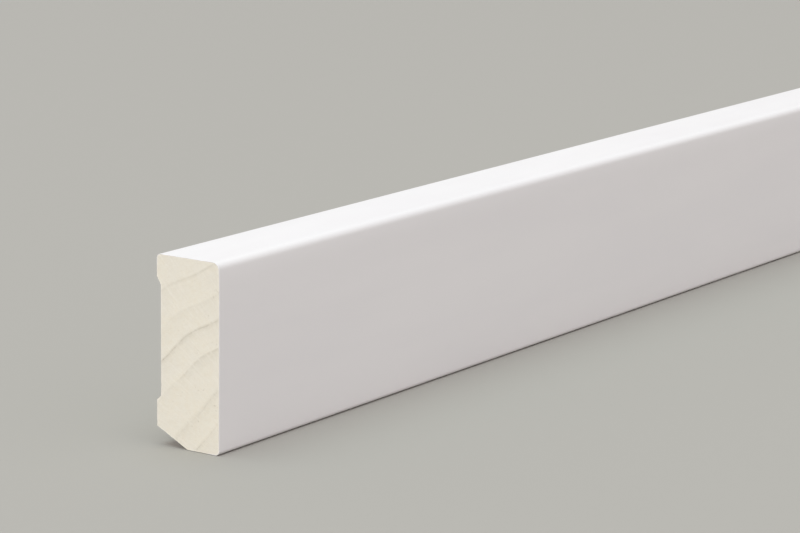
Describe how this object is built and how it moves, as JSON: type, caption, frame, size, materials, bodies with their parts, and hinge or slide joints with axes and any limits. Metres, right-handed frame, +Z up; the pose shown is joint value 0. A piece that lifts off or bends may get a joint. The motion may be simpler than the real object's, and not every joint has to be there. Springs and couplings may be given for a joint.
{
  "type": "skirting board",
  "caption": "Straight length of square-edged timber skirting board with an eased top edge, hollowed back and cut-back heel, lacquered white on its top and front and sawn square at both ends.",
  "frame": {"origin": "in the plane of the wall, halfway along the board, in the middle of the lower of the two back lands that bear on the wall, 8.35 mm above the floor", "axes": "+X along the board, parallel to the wall; +Y into the wall, so the lacquered front faces -Y; +Z up, with the rounded top edge uppermost"},
  "size_m": [0.36, 0.02, 0.05],
  "materials": {
    "white_lacquered_timber": "smooth satin white lacquer on the top and front; ends, back and underside bare pale fine-grained timber"
  },
  "bodies": {
    "root": {"skirting_board": "white_lacquered_timber"}
  },
  "joints": []
}
